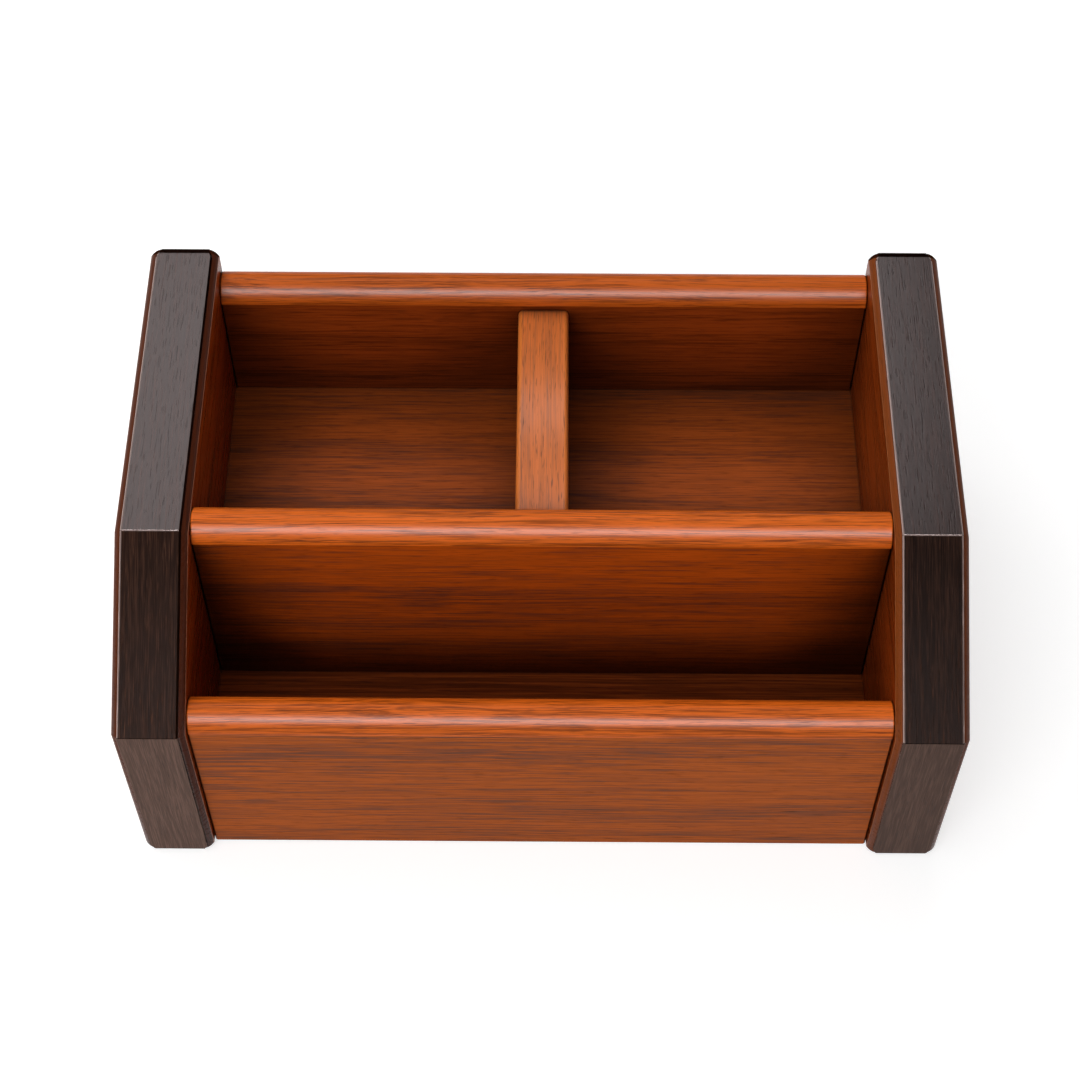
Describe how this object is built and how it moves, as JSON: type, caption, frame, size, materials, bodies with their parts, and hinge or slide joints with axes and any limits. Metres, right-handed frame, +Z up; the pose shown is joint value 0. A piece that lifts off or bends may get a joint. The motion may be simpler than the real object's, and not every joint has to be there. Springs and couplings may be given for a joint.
{
  "type": "desk organizer",
  "caption": "Wooden desktop organizer: thick sloped sides edged in dark wood, red wood panels with half-round rails, back bins split by a divider, a wide front slot.",
  "frame": {"origin": "middle of the base, at the height of the surface that it stands on", "axes": "+X to the right along the panels, +Y from the low front to the back, +Z up"},
  "size_m": [0.295, 0.191, 0.124],
  "materials": {
    "core_board": "bare, hidden but for the undersides",
    "side_face": "satin lacquered red-brown wood",
    "edge_strip": "satin lacquered dark brown wood",
    "panel": "satin lacquered red-brown wood",
    "rail": "glossy lacquered orange-red wood",
    "divider": "satin lacquered orange-red wood",
    "floor_board": "satin lacquered red-brown wood",
    "dowel": "bare beech, hidden in the joints"
  },
  "bodies": {
    "root": {"left_core": "core_board", "left_inner_face": "side_face", "left_outer_face": "side_face", "left_front_strip": "edge_strip", "left_slope_strip": "edge_strip", "left_top_strip": "edge_strip", "left_back_strip": "edge_strip", "right_core": "core_board", "right_inner_face": "side_face", "right_outer_face": "side_face", "right_front_strip": "edge_strip", "right_slope_strip": "edge_strip", "right_top_strip": "edge_strip", "right_back_strip": "edge_strip", "front_panel": "panel", "middle_panel": "panel", "back_panel": "panel", "front_rail": "rail", "middle_rail": "rail", "back_rail": "rail", "centre_divider": "divider", "bin_floor": "floor_board", "slot_floor": "floor_board", "front_panel_dowels": "dowel", "middle_panel_dowels": "dowel", "back_panel_dowels": "dowel", "divider_dowels": "dowel"}
  },
  "joints": []
}
